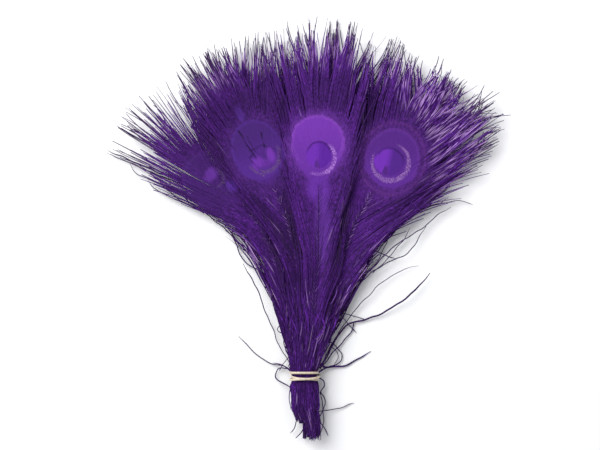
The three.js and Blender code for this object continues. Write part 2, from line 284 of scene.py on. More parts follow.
def waves(random, count, low, high):
    """A smooth random function of a few sine waves, with values mostly between -1 and 1."""
    rates = random.uniform(low, high, count)
    phases = random.uniform(0, 2 * np.pi, count)
    scale = 1.4 / math.sqrt(count)

    def value(at):
        at = np.asarray(at)[..., None]
        return np.sin(at * rates + phases).sum(-1) * scale

    return value


def stretch(before, start, end, after, count):
    """Centripetal Catmull-Rom curve between two of its points."""
    gaps = [max(np.hypot(*(b - a)) ** 0.5, 1e-4) for a, b in ((before, start), (start, end), (end, after))]
    leave = (start - before) / gaps[0] - (end - before) / (gaps[0] + gaps[1]) + (end - start) / gaps[1]
    arrive = (end - start) / gaps[1] - (after - start) / (gaps[1] + gaps[2]) + (after - end) / gaps[2]
    leave, arrive = leave * gaps[1], arrive * gaps[1]
    t = np.linspace(0, 1, count, endpoint=False)[:, None]
    square = -3 * start + 3 * end - 2 * leave - arrive
    cube = 2 * start - 2 * end + leave + arrive
    return start + leave * t + square * t**2 + cube * t**3


def curve_through(points, count=40):
    points = np.array(points, float)
    ends = np.vstack([2 * points[0] - points[1], points, 2 * points[-1] - points[-2]])
    line = [stretch(*ends[i:i + 4], count) for i in range(len(points) - 1)]
    return np.vstack([*line, points[-1:]])


class Shaft:
    """A feather's shaft on the surface, from its cut end through the tie to the eye."""

    def __init__(self, spec):
        self.spec = spec
        tie_x = TIE_X + STEM_PITCH_X * spec["slot"]
        self.line = curve_through([(tie_x, spec["cut_y"]), (tie_x, TIE_Y), *spec["route"]])
        steps = np.hypot(*np.diff(self.line, axis=0).T)
        self.at = np.concatenate([[0], np.cumsum(steps)])
        self.length = self.at[-1]
        slope = np.gradient(self.line, axis=0)
        self.slope = slope / np.hypot(*slope.T)[:, None]

    def beside(self, out, along):
        """Points out to the right of the shaft, at a place along it from the eye."""
        at = np.clip(self.length + along, 0, self.length)
        x, y = (np.interp(at, self.at, self.line[:, k]) for k in (0, 1))
        dx, dy = (np.interp(at, self.at, self.slope[:, k]) for k in (0, 1))
        past = np.maximum(along, 0) + np.minimum(self.length + along, 0)
        return x + dx * past + dy * out, y + dy * past - dx * out

    def height(self, x, y):
        """Height of the middle of the feather over a point of the surface."""
        spec = self.spec
        spread = smooth((y - TIE_Y) / SPREAD_LENGTH)
        away = np.hypot(x - FAN_MIDDLE[0], np.maximum(0, y - FAN_MIDDLE[1]))
        outward = ramp(away, FLAT_RADIUS, FAN_RADIUS)
        piled = FIRST_SHAFT_Z + PITCH_Z * spec["layer"] * (1 - TIP_SQUEEZE * outward)
        return mix(ROW_Z[spec["row"]], piled, spread) + EDGE_LIFT * outward


class Strands:
    """Collects closed strands into one mesh: barbs as slim prisms, shafts as round tubes."""

    def __init__(self, random):
        self.random = random
        self.points, self.faces, self.uv = [], [], []
        self.facts = {"place": [], "strand": [], "tone_and_painted_light": []}
        self.count = 0
        self.rows = 0

    def add(self, path, half_width, flat, roll, place, bare, shade, light, section=PRISM, shaft=0):
        """path is x, y and z in mm, each (strands, stations), and place is out and along, from the eye."""
        paths = np.stack([np.atleast_2d(axis) for axis in path], -1)
        many, stations = paths.shape[:2]
        forward = np.gradient(paths, axis=1)
        forward /= np.maximum(np.linalg.norm(forward, axis=2, keepdims=True), 1e-9)
        across = np.cross(forward, (0.0, 0.0, 1.0))
        across /= np.maximum(np.linalg.norm(across, axis=2, keepdims=True), 1e-9)
        up = np.cross(across, forward)
        turn = np.broadcast_to(np.asarray(roll, float), (many, stations))[..., None]
        across, up = (across * np.cos(turn) + up * np.sin(turn), up * np.cos(turn) - across * np.sin(turn))
        sides = len(section)
        wide = np.broadcast_to(half_width, (many, stations))[..., None, None]
        tall = np.broadcast_to(half_width * flat, (many, stations))[..., None, None]
        aside = np.array([s[0] for s in section])[None, None, :, None]
        lift = np.array([s[1] for s in section])[None, None, :, None]
        points = paths[:, :, None] + across[:, :, None] * wide * aside + up[:, :, None] * tall * lift
        self.points.append(points.reshape(-1, 3))

        index = np.arange(many * stations * sides).reshape(many, stations, sides) + self.count
        turned = np.roll(index, -1, axis=2)
        quads = np.stack([index[:, :-1], turned[:, :-1], turned[:, 1:], index[:, 1:]], -1)
        self.faces.append((quads.reshape(-1, 4), index[:, 0, ::-1], index[:, -1], sides > 3))
        self.count += points.size // 3

        rows = len(section) if shaft else 1
        row = self.rows + rows * (np.arange(many) + 0.5)
        self.rows += rows * many
        v = row[:, None, None] + 0.36 * rows * aside[..., 0]
        u = np.broadcast_to(np.linspace(0, 1, stations)[None, :, None], (many, stations, sides))
        self.uv.append(np.stack([u, np.broadcast_to(v, u.shape)], -1).reshape(-1, 2))

        steps = np.linalg.norm(np.diff(paths, axis=1), axis=2)
        run = np.concatenate([np.zeros((many, 1)), steps.cumsum(1)], 1)
        tint = 0.5 if shaft else column(self.random, many, 0, 1)
        # The third attribute holds a shade that darkens the colour, partly random tone and partly painted
        # shade, and a share of painted highlight
        columns = {
            "place": (*place, shaft),
            "strand": (tint, bare, run),
            "tone_and_painted_light": (shade, light, 0.0),
        }
        for label, values in columns.items():
            spread = np.stack([np.broadcast_to(value, (many, stations)) for value in values], -1)
            self.facts[label].append(np.repeat(spread.reshape(-1, 3), sides, axis=0))

    def make(self, name):
        points = np.vstack(self.points)
        points[:, 2] = np.maximum(points[:, 2], LOWEST)
        points = (points - ORIGIN) * MM
        loops, totals, rounded = [], [], []
        for quads, starts, ends, is_round in self.faces:
            loops += [quads.ravel(), starts.ravel(), ends.ravel()]
            totals += [np.full(len(quads), 4), np.full(len(starts), starts.shape[1])]
            totals += [np.full(len(ends), ends.shape[1])]
            rounded += [np.full(len(quads), is_round), np.zeros(len(starts) + len(ends), bool)]
        loops, totals = np.concatenate(loops), np.concatenate(totals)
        mesh = bpy.data.meshes.new(name)
        mesh.vertices.add(len(points))
        mesh.vertices.foreach_set("co", points.ravel())
        mesh.loops.add(len(loops))
        mesh.loops.foreach_set("vertex_index", loops.astype(np.int32))
        mesh.polygons.add(len(totals))
        starts = np.concatenate([[0], np.cumsum(totals)[:-1]])
        mesh.polygons.foreach_set("loop_start", starts.astype(np.int32))
        mesh.polygons.foreach_set("loop_total", totals.astype(np.int32))
        mesh.polygons.foreach_set("use_smooth", np.concatenate(rounded))
        for label, values in self.facts.items():
            layer = mesh.attributes.new(label, "FLOAT_VECTOR", "POINT")
            layer.data.foreach_set("vector", np.vstack(values).ravel())
        uv = np.vstack(self.uv)
        uv[:, 1] /= self.rows
        uv[:, 0] = 0.01 + 0.98 * uv[:, 0]
        layer = mesh.uv_layers.new(name="OFBake")
        layer.data.foreach_set("uv", uv[loops].ravel())
        mesh.update(calc_edges=True)
        mesh.validate()
        piece = bpy.data.objects.new(name, mesh)
        bpy.context.scene.collection.objects.link(piece)
        return piece


def listed(values, share):
    """Smooth values through listed ones, as share runs from 0 to 1."""
    fine = np.linspace(0, 1, 281)
    dense = np.interp(fine, np.linspace(0, 1, len(values)), values)
    padded = np.concatenate([2 * dense[0] - dense[20:0:-1], dense, 2 * dense[-1] - dense[-2:-22:-1]])
    weights = np.hanning(35)
    eased = np.convolve(padded, weights / weights.sum(), "same")[20:-20]
    return np.interp(share, fine, eased)


def barb_path(spec, width, share, reach, t):
    """Where barbs run, out from the shaft and along it. share, from crown to base, is (barbs, stations)."""
    root = listed(ROOTS, share)
    out_tip = np.maximum(listed([p[0] for p in TIPS], share) * width, 0)
    along_tip = listed([p[1] for p in TIPS], share)
    along_tip = np.where(along_tip > 0, along_tip * spec["crown"], along_tip)
    outward, onward = out_tip * reach, (along_tip - root) * reach
    slant = np.hypot(outward, onward)
    bow = BARB_BOW * slant * 4 * t * (1 - t) * np.minimum(1, out_tip / 30)
    return outward * t - bow * onward / slant, root + onward * t + bow * outward / slant


def clumps(random, share, smallest, largest):
    """Groups of neighbouring barbs: each barb's group, the group's middle, and its place in it, -1 to 1."""
    many = len(share)
    ends = np.cumsum(random.integers(smallest, largest, many))
    group = np.searchsorted(ends, np.arange(many), side="right")
    count = np.bincount(group)
    middle = np.bincount(group, share) / np.maximum(count, 1)
    first = np.searchsorted(group, np.arange(len(count)))
    last = np.maximum(first + count - 1, first)
    half = np.maximum((share[last] - share[first]) / 2, 1e-4)
    return group, middle, np.clip((share - middle[group]) / half[group], -1, 1)


def rim_share(x, y):
    """How far out in the fan a point is, 1 at the rim."""
    return np.hypot(x / RIM_X, np.maximum(y - RIM_Y, 0) / RIM_TALL)


def valley_shade(x, y):
    """How much of the light reaches a point, less along the valleys between feathers."""
    light = np.ones_like(x)
    for route, half_width, depth in VALLEYS:
        line = curve_through(route, 8)
        nearest = np.full_like(x, np.inf)
        for (at_x, at_y), fade in zip(line, np.sin(np.linspace(0.25, np.pi - 0.25, len(line)))):
            nearest = np.minimum(nearest, np.hypot(x - at_x, y - at_y) / (half_width * fade**0.5))
        light = light * (1 - depth * np.exp(-nearest**2))
    return light


def part_at_clefts(x, y, share):
    """Points pushed sideways out of the clefts in the fringe."""
    for (start_x, start_y), (rim_x, rim_y), wide in CLEFTS:
        long = math.hypot(rim_x - start_x, rim_y - start_y)
        ahead_x, ahead_y = (rim_x - start_x) / long, (rim_y - start_y) / long
        along = (x - start_x) * ahead_x + (y - start_y) * ahead_y
        off = (x - start_x) * ahead_y - (y - start_y) * ahead_x
        side = np.sign(off[:, -1:])
        near = np.exp(-np.maximum(off * side, 0) / (2.4 * wide))
        push = side * near * wide * ramp(along, -5, long) * share
        push = push * ramp(np.abs(off[:, -1:]), 5 * wide, 3 * wide)
        x, y = x + push * ahead_y, y - push * ahead_x
    return x, y


def gleams(random, x, y, t, share, sheen):
    """How much painted highlight, in lilac, the barbs get: short stretches, most of them near the rim, and
    long ones low down.
    """
    many = len(share)
    rim = ramp(rim_share(x, y) + 0.09 * ramp(x, 40, 90), 0.64, 0.84)
    rim = rim * mix(1.0, 0.3, ramp(-x, 60, 100))

    def stretches(middle_low, middle_high, long):
        middle = column(random, many, middle_low, middle_high)
        return ramp(np.abs(t - middle), long, long * 0.4)

    strokes = np.sin(column(random, many, 13, 27) * t + column(random, many, 0, 6.3))
    plain = chosen(random, many, 0.5 * sheen + 0.03, 0.08, 0.24) * stretches(0.1, 0.95, 0.1)
    bright = chosen(random, many, 0.68, 0.4, 1.0) * ramp(strokes, 0.3, 0.9) * rim
    bright = bright * mix(0.4, 1.0, ramp(share, *UPPER))[:, None]
    lower = chosen(random, many, sheen, 0.1, 0.38) * stretches(0.3, 0.9, 0.2)
    lower = lower * ramp(share, 0.42, 0.6)[:, None]
    return np.maximum(np.maximum(plain, bright), lower)


def vane(strands, shaft, random, side):
    """The barbs of one side of a feather, drawn together into locks that part towards the tips."""
    spec = shaft.spec
    t = np.linspace(0, 1, STATIONS) ** 0.9
    width = spec["right" if side > 0 else "left"]
    wisp = spec["wisp"][max(side, 0)]
    wispy = wisp > WISPY_FROM
    many = int(BARBS_PER_SIDE * (0.45 + 0.55 * width) * (1 - 0.6 * wisp))
    share = np.sort(random.uniform(0, 1, many)) ** 1.06
    group, middle, off = clumps(random, share, *((3, 10) if wispy else (5, 20)))
    upper = ramp(share, *UPPER)
    flank = ramp(share, 0.3, 0.5)[:, None]

    hair = random.uniform(0, 1, many) < (HAIR_SHARE + 0.8 * wisp) * mix(0.4, 1.0, upper)
    reach = random.uniform(0.9, 1.03, len(middle))[group]
    hair_reach = random.uniform(0.9, 1.0, many)
    barb_reach = random.uniform(0.72 - 0.4 * wisp, 0.92 - 0.3 * wisp, many)
    reach = reach * np.where(hair, hair_reach, barb_reach)
    stray = (random.uniform(0, 1, many) < 0.03) & (upper > 0.5)
    reach = np.where(stray, reach * random.uniform(0.7, 1.0, many), reach)
    plain = np.repeat(share[:, None], STATIONS, 1)
    place_out, place_along = barb_path(spec, width, plain, reach[:, None], t)
    from_eye = np.hypot(place_out / EYE_ZONE[0], (place_along - EYE_ZONE_MIDDLE) / EYE_ZONE[1])
    near_eye = ramp(from_eye, 1.12, 0.9)
    in_eye = near_eye * EYES[spec["name"]]["clear"]

    rows = 2 * LOCKS_PER_SIDE + 1
    ridge = (np.round(share * rows / 2) * 2 / rows)[:, None]
    pull = random.uniform(*((0.1, 0.6) if wispy else (0.5, 1.0)), len(middle))[group][:, None]
    drawn = mix(plain, middle[group][:, None], ramp(t, 0.5, 0.95) * pull)
    gather = mix(0.5, 0.22, ramp(share, 0.1, 0.35)) * (0.2 if wispy else 1.0)
    drawn = mix(drawn, ridge, gather[:, None] * ramp(t, 0.55, 1.0))
    drawn = drawn + 0.006 * waves(random, 5, 20, 70)(share)[:, None] * ramp(t, 0.1, 0.9)
    drawn = mix(drawn, plain, 0.9 * in_eye)
    for at_side, at, start, end, gap in spec.get("partings", ()):
        if at_side == side:
            away = share - at
            push = np.sign(away) * np.exp(-np.abs(away) / 0.02) * 0.012 * gap
            window = ramp(t, start, start + 0.12) * ramp(t, end, end - 0.12)
            drawn = drawn + push[:, None] * window
    out, along = barb_path(spec, width, drawn, reach[:, None], t)

    tame = mix(0.2, 1.0, upper)[:, None]
    sway = waves(random, 6, 15, 60)(share)[:, None] * 1.2 * (t**2)
    curl = random.normal(0, 0.8, many)[:, None] * (ramp(t, 0.5, 1.0) * 1.6)
    bends = np.clip(random.normal(0, 2.8, many), -5.5, 5.5) * spec["curl"]
    curly = np.where(random.uniform(0, 1, many) < mix(0.25, 0.75, hair), bends, 0)
    curl += 1.2 * curly[:, None] * np.maximum(0, (t - 0.6) / 0.4) ** 2
    bends = np.clip(random.normal(0, 3.5, many), -6, 6)
    curl += np.where(stray, bends, 0)[:, None] * ramp(t, 0.4, 1.0)
    x, y = shaft.beside(side * (out + sway + curl * tame), along)
    x, y = part_at_clefts(x, y, np.where(hair, random.uniform(0.6, 1.0, many), 1.0)[:, None])

    crest = waves(random, 6, 30, 110)(share)[:, None] * 0.6 * ramp(t, 0.15, 0.8)
    crest += random.normal(0, 0.45, len(middle))[group][:, None] * ramp(t, 0.2, 0.8)
    crest += (0.7 * (1 - off**2) - 0.45)[:, None] * ramp(t, 0.2, 0.7)
    crest *= mix(0.6, 1.15, flank) * (1 - 0.95 * in_eye)
    layer_lift = column(random, many, -0.5, 0.5) * ramp(t, 0.02, 0.25)
    z = shaft.height(x, y) + crest + layer_lift * mix(0.6, 1.0, flank) * (1 - 0.85 * in_eye) + 0.1
    z = np.maximum(z, LOWEST_MIDDLE)

    slim_from = SLIM_FROM - (0.8 * wisp + 0.06) * upper - 0.12 * np.abs(off) ** 1.5
    slim_from += random.uniform(-0.05, 0.05, many)
    slim_from += random.uniform(-0.07, 0.05, len(middle))[group]
    slim_from = np.clip(slim_from / reach, 0.2, 0.93)[:, None]
    slim = ramp(t, slim_from - 0.08, slim_from + 0.1)
    grey = ramp(t, slim_from + 0.05, slim_from + 0.25)
    grey = grey * mix(0.35, 1.0, hair)[:, None] * upper[:, None]
    feathered = BARB_WIDTH * ramp(t + 0.35, 0.0, 0.5) * mix(1.0, 0.62, ramp(t, 0.5, 0.8))
    feathered = feathered * column(random, many, 0.8, 1.15) * mix(1.0, 1.35, in_eye)
    hair_width = column(random, many, *HAIR_WIDTH) * mix(1.0, 0.7, ramp(t, 0.9, 1.0))
    half = 0.5 * mix(feathered, hair_width, slim)
    roll = random.normal(0, 0.3, many)[:, None] * (1 - 0.9 * in_eye)

    shade = random.uniform(0.84, 1.12, len(middle))[group][:, None]
    # Painted shade: barbs darker at the edges of each lock, and along the valleys between feathers
    edge = (np.abs(off) ** 2)[:, None] * ramp(t, 0.1, 0.5)
    shade = shade * (1 - mix(0.16, 0.45, flank) * edge) * mix(1.0, 1.3, ramp(t, 0.55, 0.85))
    away = rim_share(x, y)
    grey = grey * mix(0.2, 1.0, ramp(away, 0.72, 0.92))
    shade = shade * (1 - 0.24 * ramp(away, 0.34, 0.46) * ramp(away, 0.74, 0.58))
    shade = mix(shade, 0.9, 0.9 * in_eye) * spec["shade"] * mix(valley_shade(x, y), 1.0, in_eye)
    # Painted highlight: lilac gleams, on barbs drawn slimmer and a little higher
    light = gleams(random, x, y, t, share, spec["sheen"]) * (1 - near_eye)
    half = half * mix(1.0, 0.62, ramp(light, 0.1, 0.5))
    z = z + 0.6 * light
    place = (side * place_out, place_along)
    strands.add((x, y, z), half, mix(0.45, 0.1, in_eye), roll, place, grey, shade, light)


def herringbone(strands, shaft, random):
    """Roots of barbs, in a row of small Vs along both sides of the shaft, with painted sheen on them."""
    spec = shaft.spec
    along = np.arange(-126, -24, 2.9)
    along = np.concatenate([along, along + random.uniform(0.6, 1.6)])
    side = np.repeat([-1.0, 1.0], len(along) // 2)
    many, t = len(along), np.linspace(0, 1, 5)
    along = along + random.uniform(-0.5, 0.5, many)
    size = column(random, many, 0.4, 0.95)
    out = side[:, None] * (0.35 + 2.3 * size * t)
    onward = along[:, None] + 4.4 * size * t
    x, y = shaft.beside(out, onward)
    z = shaft.height(x, y) + 1.15 + 0.25 * t
    half = 0.5 * column(random, many, 0.35, 0.6) * mix(1.0, 0.5, t)
    # Painted sheen on the roots of the barbs
    light = spec["vees"] * column(random, many, 0.1, 1.0) * ramp(column(random, many, 0, 1), 0.3, 0.7)
    strands.add((x, y, z), half, 0.7, 0.0, (out, onward), 0.0, 0.9 * spec["shade"], light)


def hugging_barbs(strands, shaft, random):
    """Long barbs from the matted stem, which run up through the tie and fan out above it."""
    spec = shaft.spec
    many, t = HUG_BARBS, np.linspace(0, 1, STATIONS)
    low = -shaft.length
    start = np.sort(random.uniform(0, 1, many)) * 85 + low + 1
    run = column(random, many, 45, 105)
    along = start[:, None] + run * t
    tie_along = TIE_Y - spec["cut_y"] + low
    edge = np.interp(along - tie_along - 158, HUG_ALONG, HUG_OUT)
    lean = column(random, many, -1, 1)
    weave = waves(random, 4, 0.05, 0.16)
    out = edge * lean * mix(0.45, 1.0, ramp(t, 0.0, 0.3))
    out = out + 0.5 * weave(along + 40 * lean)
    x, y = shaft.beside(out, along)
    around = column(random, many, -1, 1)
    deep = mix(1.9, 0.9, ramp(y, TIE_Y + 5, TIE_Y + 50))
    hump = np.sqrt(np.maximum(0, 1 - lean**2))
    z = shaft.height(x, y) + around * deep * mix(0.5, 1.0, hump)
    z = np.maximum(z, LOWEST_MIDDLE)
    bare = ramp(t, 0.75, 0.95)
    half = 0.5 * mix(0.8, 0.25, bare) * column(random, many, 0.6, 1.2)
    roll = random.normal(0, 0.5, many)[:, None]
    # Painted shade along the valleys between feathers
    shade = column(random, many, 0.5, 1.1) * spec["shade"] * valley_shade(x, y)
    # Painted highlight: a few barbs gleam in short stretches
    lit = random.uniform(0, 1, many) < 0.03
    window = column(random, many, 0.1, 0.9)
    light = np.where(lit, random.uniform(0.1, 0.28, many), 0)[:, None]
    light = light * ramp(np.abs(t - window), 0.1, 0.04)
    half = half * mix(1.0, 0.5, ramp(light, 0.1, 0.4))
    strands.add((x, y, z), half, 0.6, roll, (out, along), bare, shade, light)


def matted_fibres(strands, shaft, random):
    """Fibres through the bundle of stems, from the cut ends to just above the tie, some of them curly."""
    spec = shaft.spec
    many, steps = spec["fibres"], 26
    t = np.linspace(0, 1, steps)
    across = random.uniform(-1, 1, many)
    across = np.sign(across) * np.abs(across) ** 0.9
    upper = spec["row"] > 0
    rise = np.sqrt(np.maximum(0, 1 - across**2 * 0.9))
    depth = rise * (random.uniform(0.55, 1.0, many) if upper else random.uniform(-1.0, 0.3, many))
    start = np.where(across < -0.2, random.uniform(-138, -127, many), random.uniform(-151, -136, many))
    from_above = random.uniform(0, 1, many) < 0.35
    start = np.where(from_above, TIE_Y + random.uniform(-8, 22, many), start)
    end = TIE_Y + np.where(from_above, random.uniform(30, 72, many), random.uniform(4, 50, many))
    y = mix(start[:, None], end[:, None], t)
    middle = np.interp(y, BUNDLE_Y, BUNDLE_X)
    half = np.interp(y, BUNDLE_Y, BUNDLE_HALF)
    waver = np.stack([waves(random, 3, 0.06, 0.3)(row) for row in y])
    is_curly = random.uniform(0, 1, many) < mix(0.2, 0.5, from_above)
    curly = np.where(is_curly, random.uniform(1.0, 3.2, many), 0.35)
    curly = (curly * (1 - 0.7 * across**2))[:, None]
    loose = ramp(np.abs(y - TIE_Y), 2.5, 9.0)
    slide = random.normal(0, 0.3, many)[:, None] * (t - 0.5)
    x = middle + half * np.clip(across[:, None] + slide, -1, 1) * 0.97 + waver * curly * loose
    slack = ramp(np.abs(y - TIE_Y), 2.0, 16.0)
    z = BUNDLE_Z + depth[:, None] * (BUNDLE_DEEP + 0.8 * slack) + column(random, many, -0.3, 0.3)
    z = z - 1.6 * ramp(y, TIE_Y + 25, TIE_Y + 70) * (1 if upper else 0)
    z = np.maximum(z + 0.4 * waver * loose, 0.4)
    frayed = column(random, many, 0, 1) < 0.3
    to_ends = np.abs(t - 0.5)
    bare = np.where(frayed, ramp(to_ends, 0.4, 0.5), 0.0)
    width = 0.5 * column(random, many, 0.4, 1.1) * mix(1.0, 0.5, ramp(to_ends, 0.3, 0.5))
    place = (across[:, None] * 9, y - 120)
    shade = column(random, many, 0.4, 1.0)
    # Painted highlights: brighter violet stretches along some fibres, and lilac ones on a few
    shade = shade + chosen(random, many, 0.25, 0.3, 0.9) * ramp(waver, 0.0, 0.9)
    light = chosen(random, many, 0.1, 0.1, 0.35) * ramp(waver, 0.3, 0.9)
    roll = random.normal(0, 0.5, many)[:, None]
    strands.add((x, y, z), width, 0.6, roll, place, bare, shade, light)


def far_from_eye(y):
    """A place on the vane well away from its eye, for strands that have no part in it."""
    return 40.0, y - 150


def loose_strands(strands, shaft, random):
    """Strands that lie apart from the rest, each along its own route and sinking to the surface."""
    t = np.linspace(0, 1, 44)
    for root_width, tip_width, grey, route in LOOSE[shaft.spec["name"]]:
        line = curve_through(np.reshape(route, (-1, 2)), 20)
        run = np.concatenate([[0], np.cumsum(np.hypot(*np.diff(line, axis=0).T))])
        at = np.linspace(0, run[-1], len(t))
        x, y = (np.interp(at, run, line[:, k]) for k in (0, 1))
        kink = waves(random, 4, 0.15, 0.6)
        x, y = x + 0.22 * kink(at), y + 0.22 * kink(at + 50)
        outside = np.abs(x - np.interp(y, BUNDLE_Y, BUNDLE_X)) - np.interp(y, BUNDLE_Y, BUNDLE_HALF)
        outside = np.maximum(outside, 0)
        beside_stems = 0.5 + 7.5 * np.exp(-outside / 8)
        under_fan = 0.6 + (shaft.height(x, y) - 0.6) * np.exp(-outside / 70)
        z = mix(beside_stems, under_fan, ramp(y, -70, -45))
        half = 0.5 * LOOSE_BULK * mix(root_width, tip_width, t) * mix(1.0, 0.45, ramp(t, 0.85, 1.0))
        bare = grey * mix(0.6, 1.0, t)
        strands.add((x, y, z), half, 0.9, 0.0, far_from_eye(y), bare, 0.6, 0.0, round_section(5))


def pale_lit_strands(strands, shaft, random):
    """Strands side by side along the lower edge of the fan, painted pale, with glints, where the light comes
    through.
    """
    if shaft.spec["name"] not in PALE_LIT_FANS:
        return
    many, *routes = PALE_LIT_FANS[shaft.spec["name"]]
    first, last = np.array(routes)
    steps = 30
    lines = []
    for place in random.uniform(0, 1, many):
        line = curve_through(mix(first, last, place) + random.normal(0, 0.7, (3, 2)), 20)
        line = line[random.integers(0, 12):len(line) - random.integers(0, 14)]
        at = np.linspace(0, len(line) - 1, steps)
        lines.append(np.stack([np.interp(at, np.arange(len(line)), line[:, k]) for k in (0, 1)], -1))
    x, y = np.array(lines).transpose(2, 0, 1)
    z = shaft.height(x, y) + column(random, many, 0.6, 2.0)
    half = 0.5 * column(random, many, 0.25, 0.5)
    # Painted light: lilac glints along the strands
    glint = waves(random, 3, 3, 9)(np.linspace(0, 1, steps) + 7 * column(random, many, 0, 1))
    light = column(random, many, 0.4, 0.9) * ramp(glint, -0.5, 0.6)
    strands.add((x, y, z), half, 0.8, 0.0, far_from_eye(y), 0.0, 1.0, light)


def stem(strands, shaft):
    """The shaft itself, round and slightly flattened, tapering from the cut end to the eye."""
    past_eye = 6
    along = np.linspace(-shaft.length, past_eye, 70)
    x, y = shaft.beside(0.0, along)
    radius = mix(1.35, 0.32, smooth((along + shaft.length) / (shaft.length + past_eye)))
    path = (x, y, shaft.height(x, y))
    strands.add(path, radius, 0.9, 0.0, (0.0, along), 0.0, 1.0, 0.0, round_section(10), 1)


def feather(spec):
    random = np.random.default_rng(500 + spec["layer"])
    shaft = Shaft(spec)
    strands = Strands(random)
    stem(strands, shaft)
    for side in (-1, 1):
        vane(strands, shaft, random, side)
    herringbone(strands, shaft, random)
    hugging_barbs(strands, shaft, random)
    matted_fibres(strands, shaft, random)
    loose_strands(strands, shaft, random)
    pale_lit_strands(strands, shaft, random)
    piece = strands.make(spec["name"] + "_barbs")
    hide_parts(spec["name"])
    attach(piece, "root")
    return piece


def srgb(red, green, blue):
    """A colour given as 0 to 255 on screen, as Blender's linear values."""
    values = [c / 255 for c in (red, green, blue)]
    return tuple(c / 12.92 if c <= 0.04045 else ((c + 0.055) / 1.055) ** 2.4 for c in values) + (1.0,)


class Graph:
    """A new material, with short names for its nodes."""

    def __init__(self, name):
        self.material = bpy.data.materials.new(name)
        self.material.use_nodes = True
        self.tree = self.material.node_tree
        self.tree.nodes.clear()

    def node(self, kind, **settings):
        made = self.tree.nodes.new(kind)
        for key, value in settings.items():
            setattr(made, key, value)
        return made

    def put(self, socket, value):
        if isinstance(value, bpy.types.NodeSocket):
            self.tree.links.new(value, socket)
        else:
            socket.default_value = value

    def math(self, operation, a, b=0.0):
        made = self.node("ShaderNodeMath", operation=operation)
        self.put(made.inputs[0], a)
        self.put(made.inputs[1], b)
        return made.outputs[0]

    def plus(self, a, b):
        return self.math("ADD", a, b)

    def minus(self, a, b):
        return self.math("SUBTRACT", a, b)

    def times(self, first, *others):
        for other in others:
            first = self.math("MULTIPLY", first, other)
        return first

    def span(self, value, start, end, low=0.0, high=1.0, kind="SMOOTHSTEP"):
        made = self.node("ShaderNodeMapRange", interpolation_type=kind)
        entries = {"Value": value, "From Min": start, "From Max": end, "To Min": low, "To Max": high}
        for name, entry in entries.items():
            self.put(made.inputs[name], entry)
        return made.outputs[0]

    def within(self, distance):
        """1 inside an edge at distance 1 and 0 outside it."""
        return self.span(distance, 1.03, 0.97)

    def blend(self, share, first, second):
        made = self.node("ShaderNodeMix", data_type="RGBA")
        self.put(made.inputs[0], share)
        self.put(made.inputs[6], first)
        self.put(made.inputs[7], second)
        return made.outputs[2]

    def noise(self, vector, scale, detail=2.0, rough=0.5):
        made = self.node("ShaderNodeTexNoise")
        self.put(made.inputs["Vector"], vector)
        self.put(made.inputs["Scale"], scale)
        self.put(made.inputs["Detail"], detail)
        self.put(made.inputs["Roughness"], rough)
        return made.outputs["Fac"]

    def scaled(self, vector, factors):
        made = self.node("ShaderNodeVectorMath", operation="MULTIPLY")
        self.put(made.inputs[0], vector)
        self.put(made.inputs[1], factors)
        return made.outputs[0]

    def parts(self, name):
        vector = self.node("ShaderNodeAttribute", attribute_name=name).outputs["Vector"]
        split = self.node("ShaderNodeSeparateXYZ")
        self.put(split.inputs[0], vector)
        return vector, *split.outputs

    def distance(self, x, y, at_x, at_y, wide, tall):
        """Distance from a centre, 1 on an ellipse of the half sizes given."""
        dx = self.math("DIVIDE", self.minus(x, at_x), wide)
        dy = self.math("DIVIDE", self.minus(y, at_y), tall)
        return self.math("SQRT", self.plus(self.times(dx, dx), self.times(dy, dy)))

    def from_line(self, x, y, start_x, start_y, end_x, end_y):
        """Distance from a straight line between two points."""
        long = math.hypot(end_x - start_x, end_y - start_y)
        ahead_x, ahead_y = (end_x - start_x) / long, (end_y - start_y) / long
        dx, dy = self.minus(x, start_x), self.minus(y, start_y)
        along = self.plus(self.times(dx, ahead_x), self.times(dy, ahead_y))
        nearest = self.math("MINIMUM", self.math("MAXIMUM", along, 0.0), long)
        off_x = self.minus(dx, self.times(nearest, ahead_x))
        off_y = self.minus(dy, self.times(nearest, ahead_y))
        return self.distance(off_x, off_y, 0.0, 0.0, 1.0, 1.0)

    def surface(self, colour, roughness):
        shader = self.node("ShaderNodeBsdfPrincipled")
        self.put(shader.inputs["Base Color"], colour)
        self.put(shader.inputs["Roughness"], roughness)
        output = self.node("ShaderNodeOutputMaterial")
        self.put(output.inputs["Surface"], shader.outputs[0])
        return shader


# Dyed colours, as seen in plain light, and the colours of painted highlight, sheen and shade
BODY = srgb(86, 32, 132)
BODY_DEEP = srgb(50, 16, 82)
# Lighter streaks along the barbs: partly their own tone, partly painted sheen
STREAK_AND_SHEEN = srgb(118, 54, 164)
# Painted highlight: the lilac of sheen on barbs and of light seen through the gaps between them
LILAC_HIGHLIGHT = srgb(206, 162, 230)
HAIR = srgb(54, 37, 66)
SHAFT_PURPLE = srgb(48, 20, 78)
# Painted shade in the slits where barbs part
SLIT_SHADE = srgb(34, 12, 56)
RING = srgb(112, 56, 136)
HEART_ARC = srgb(50, 16, 88)
HEART_NOTCH = srgb(66, 28, 108)
CREAM = srgb(206, 192, 170)
CREAM_DARK = srgb(188, 170, 146)
